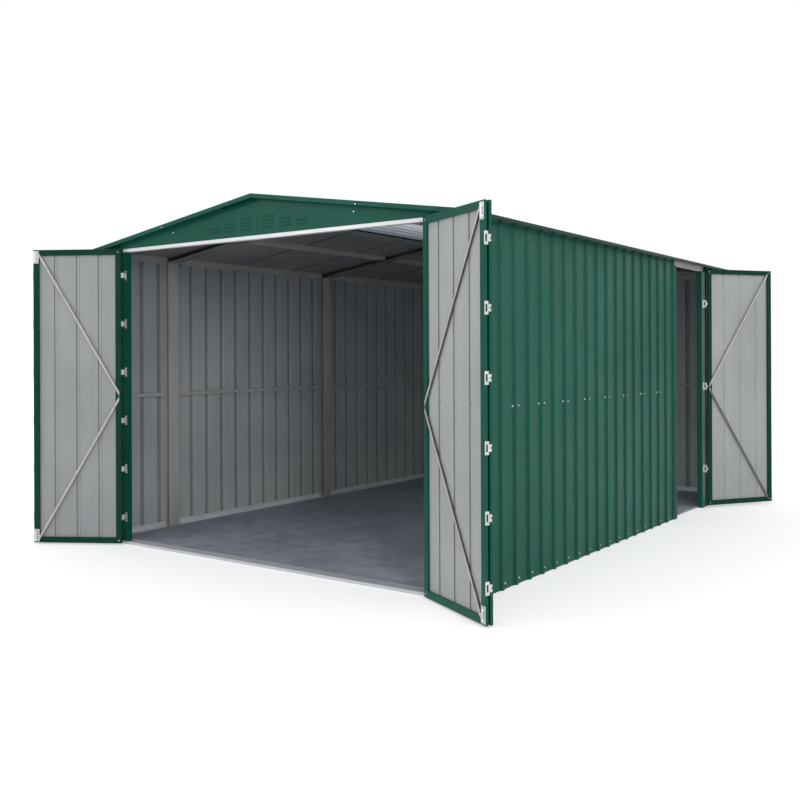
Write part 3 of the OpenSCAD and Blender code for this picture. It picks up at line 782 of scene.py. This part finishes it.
for pair, hand, open_angle in (("left", -1, 149), ("right", 1, 152)):
    move = leaf_move(hand, open_angle)
    inward = (move.to_3x3() @ Vector((0, -1, 0))).normalized()
    outward_end = (move.to_3x3() @ Vector((1, 0, 0))).normalized()
    # The left pair's frames wear the green darkened as painted shade; the right pair's wear the plain green.
    wear(green_paint if hand > 0 else green_paint_in_painted_shade, pair + "_leaf_frames")
    wear(leaf_sheet_finish(pair + " leaf coat", move, *leaf_coats_and_painted_shade[pair]), pair + "_leaf_sheets")
    wear(brace_finish(pair + " brace steel", tuple(inward)), pair + "_leaf_braces")
    wear(hinge_zinc, pair + "_hinges")

    spots = []
    top = leaf_foot + leaf_tall
    for z in (leaf_foot + half_stile, top - half_stile):
        spots.append(facing(move @ Vector((leaf_start + half_stile, -leaf_depth, z)), inward))
        for x in (free_x + half_stile, fold_x - half_stile):
            spots.append(facing(move @ Vector((x, fold_gap + leaf_depth, z)), -inward))
    copies_of(rivet, pair + "_leaf_corner_screws", spots, bolt_steel)

    spots = []
    for z in hinge_z:
        for rise in (-0.0255, 0.0255):
            for y in (-0.0115, 0.0015):
                spots.append(facing(move @ Vector((fold_x + 0.002, y, z + rise)), outward_end))
            for x in (-0.011, 0.001):
                spots.append(facing((hand * (pin.x + x), -2.312, z + rise), (0, -1, 0)))
    copies_of(rivet, pair + "_hinge_rivets", spots, bolt_steel)

    screws, collars, knobs = [], [], []
    for z in (leaf_foot + 0.008, top - bolt_plate_h - 0.008):
        for x in (-bolt_plate_w + 0.0055, -0.0065):
            for rise in (0.008, bolt_plate_h - 0.008):
                screws.append(facing(move @ Vector((fold_x + x, -bolt_face, z + rise)), inward))
        for rise in (collar_inset, bolt_plate_h - collar_inset):
            collars.append(facing(move @ Vector((bolt_x, barrel_y + collar_back, z + rise)), (0, 0, 1)))
        knobs.append(facing(move @ Vector((bolt_x - knob_back, barrel_y, z + bolt_plate_h / 2)), -outward_end))
    copies_of(rivet, pair + "_bolt_screws", screws, bolt_steel)
    copies_of(collar, pair + "_bolt_collars", collars, bolt_steel)
    copies_of(knob, pair + "_bolt_knobs", knobs, bolt_steel)

    spots = []
    for i in (1, 2, 3):
        for rise in (-rivet_rise, rivet_rise):
            z = leaf_foot + leaf_tall / 2 + rise
            outer = move @ Vector((leaf_start + i * leaf_w / 4, groove_floor, z))
            inner = move @ Vector((free_x + i * inner_leaf_w / 4, fold_gap - groove_floor, z))
            spots += [facing(outer, inward), facing(inner, -inward)]
    copies_of(rivet, pair + "_leaf_rivets", spots, dull_rivet)

discard(collar, knob)
bolt_zinc = galvanised_finish("bolt zinc", (0.60, 0.60, 0.60), (0.78, 0.78, 0.77), 240.0)
wear(bolt_zinc, "door_bolts")


# ---------------------------------------------------------------------------
# Side door
# One leaf of the same make, hung on three pressed hinges at the back jamb. Its
# own half of each hinge turns with it, and the rest stays on the jamb.
# ---------------------------------------------------------------------------

side_angle = 145.5
side_pin = Vector((1.556, 1.495, 0))
side_leaf_w = 0.665
side_foot = 0.020
side_tall = 2.003
side_stand = Matrix.Translation(side_pin) @ Matrix.Rotation(radians(side_angle - 90), 4, "Z")
side_in = (side_stand.to_3x3() @ Vector((0, -1, 0))).normalized()

# The side door frame wears the green darkened as painted shade.
wear(green_paint_in_painted_shade, "side_door_frame")
wear(coated_sheet("side leaf coat", tuple(-side_in), *leaf_coats_and_painted_shade["right"][:2]), "side_door_sheet")
# The side door's lower brace arm is darkened to 0.30 as painted shade.
wear(brace_finish("side brace steel", tuple(side_in), 0.30), "side_door_braces")
wear(hinge_zinc, "side_hinge_plates", "side_door_knuckles")

spots = []
for x in (leaf_start + half_stile, leaf_start + side_leaf_w - half_stile):
    for z in (side_foot + half_stile, side_foot + side_tall - half_stile):
        spots.append(facing(side_stand @ Vector((x, -leaf_depth, z)), side_in))
copies_of(rivet, "side_door_corner_screws", spots, bolt_steel, "side_door")
spots = []
for i in (1, 2, 3):
    for rise in (-rivet_rise, rivet_rise):
        z = side_foot + side_tall / 2 + rise
        spots.append(facing(side_stand @ Vector((leaf_start + i * side_leaf_w / 4, groove_floor, z)), side_in))
copies_of(rivet, "side_door_rivets", spots, dull_rivet, "side_door")

plate_face = 1.537
spots = []
for z in (0.330, 1.030, 1.730):
    for rise in (-0.026, 0.026):
        spots.append(facing((plate_face, side_pin.y - 0.021, z + rise), (1, 0, 0)))
copies_of(rivet, "side_hinge_rivets", spots, bolt_steel)
discard(rivet, screw)


# ---------------------------------------------------------------------------
# Studio
# A white floor that keeps a soft shadow, an even white room and two large lamps,
# before the front doors and over the right wall. A low strip inside lights the
# ridge from below.
# ---------------------------------------------------------------------------

world = bpy.data.worlds.new("studio")
bpy.context.scene.world = world
world.use_nodes = True
tree = world.node_tree
room = tree.nodes["Background"]
room.inputs["Color"].default_value = (1.0, 1.0, 1.0, 1.0)
room.inputs["Strength"].default_value = 0.82
white_room = tree.nodes.new("ShaderNodeBackground")
white_room.inputs["Color"].default_value = (1.0, 1.0, 1.0, 1.0)
white_room.inputs["Strength"].default_value = 1.0


def seen_directly(tree):
    """1 for rays from the eye, from a mirror and through glass."""
    path = tree.nodes.new("ShaderNodeLightPath")
    direct = path.outputs["Is Camera Ray"]
    for other in ("Is Glossy Ray", "Is Transmission Ray"):
        direct = either(tree, direct, path.outputs[other])
    return direct


choice = tree.nodes.new("ShaderNodeMixShader")
tree.links.new(seen_directly(tree), choice.inputs["Fac"])
tree.links.new(room.outputs["Background"], choice.inputs[1])
tree.links.new(white_room.outputs["Background"], choice.inputs[2])
tree.links.new(choice.outputs["Shader"], tree.nodes["World Output"].inputs["Surface"])

deselect()
bpy.ops.mesh.primitive_plane_add(size=80, location=(0, 0, -0.002))
ground = bpy.context.object
ground.name = "ground"
white_floor, tree, shader = new_finish("white studio floor", (0.88, 0.88, 0.88), 0.9, 0.0, 0.2)
lift = tree.nodes.new("ShaderNodeEmission")
lift.inputs["Color"].default_value = (1.0, 1.0, 1.0, 1.0)
lift.inputs["Strength"].default_value = 0.40
both = tree.nodes.new("ShaderNodeAddShader")
tree.links.new(shader.outputs["BSDF"], both.inputs[0])
tree.links.new(lift.outputs["Emission"], both.inputs[1])
choice = tree.nodes.new("ShaderNodeMixShader")
tree.links.new(seen_directly(tree), choice.inputs["Fac"])
tree.links.new(shader.outputs["BSDF"], choice.inputs[1])
tree.links.new(both.outputs["Shader"], choice.inputs[2])
tree.links.new(choice.outputs["Shader"], tree.nodes["Material Output"].inputs["Surface"])
ground.data.materials.append(white_floor)


def add_lamp(name, place, aim, size, power):
    data = bpy.data.lights.new(name, "AREA")
    data.shape = "DISK"
    data.size = size
    data.energy = power
    lamp = bpy.data.objects.new(name, data)
    bpy.context.scene.collection.objects.link(lamp)
    lamp.location = place
    lamp.rotation_euler = (Vector(aim) - Vector(place)).to_track_quat("-Z", "Y").to_euler()
    return lamp


add_lamp("front lamp", (-5.0, -9.0, 4.0), (0.5, -2.0, 1.0), 2.0, 60.0)
add_lamp("side lamp", (7.5, -7.0, 3.0), (-0.5, -1.5, 0.9), 2.0, 126.0)
strip = add_lamp("roof lamp", (-1.0, -0.9, 0.35), (0.15, -0.9, 2.25), 2.6, 3.0)
strip.data.shape = "RECTANGLE"
strip.data.size_y = 0.3
strip.data.spread = radians(21)
strip.visible_camera = False

camera_data = bpy.data.cameras.new("camera")
camera = bpy.data.objects.new("camera", camera_data)
bpy.context.scene.collection.objects.link(camera)
bpy.context.scene.camera = camera
camera_data.sensor_width = 36
camera_data.lens = 42.55
camera_data.shift_y = -0.0576
camera.location = (4.120, -6.546, 1.306)
heading, tilt, roll = 35.62, 90.06, -0.23
look = Matrix.Rotation(radians(heading), 3, "Z") @ Matrix.Rotation(radians(tilt), 3, "X")
camera.rotation_euler = (look @ Matrix.Rotation(radians(roll), 3, "Z")).to_euler()

bpy.context.scene.view_settings.view_transform = "Standard"
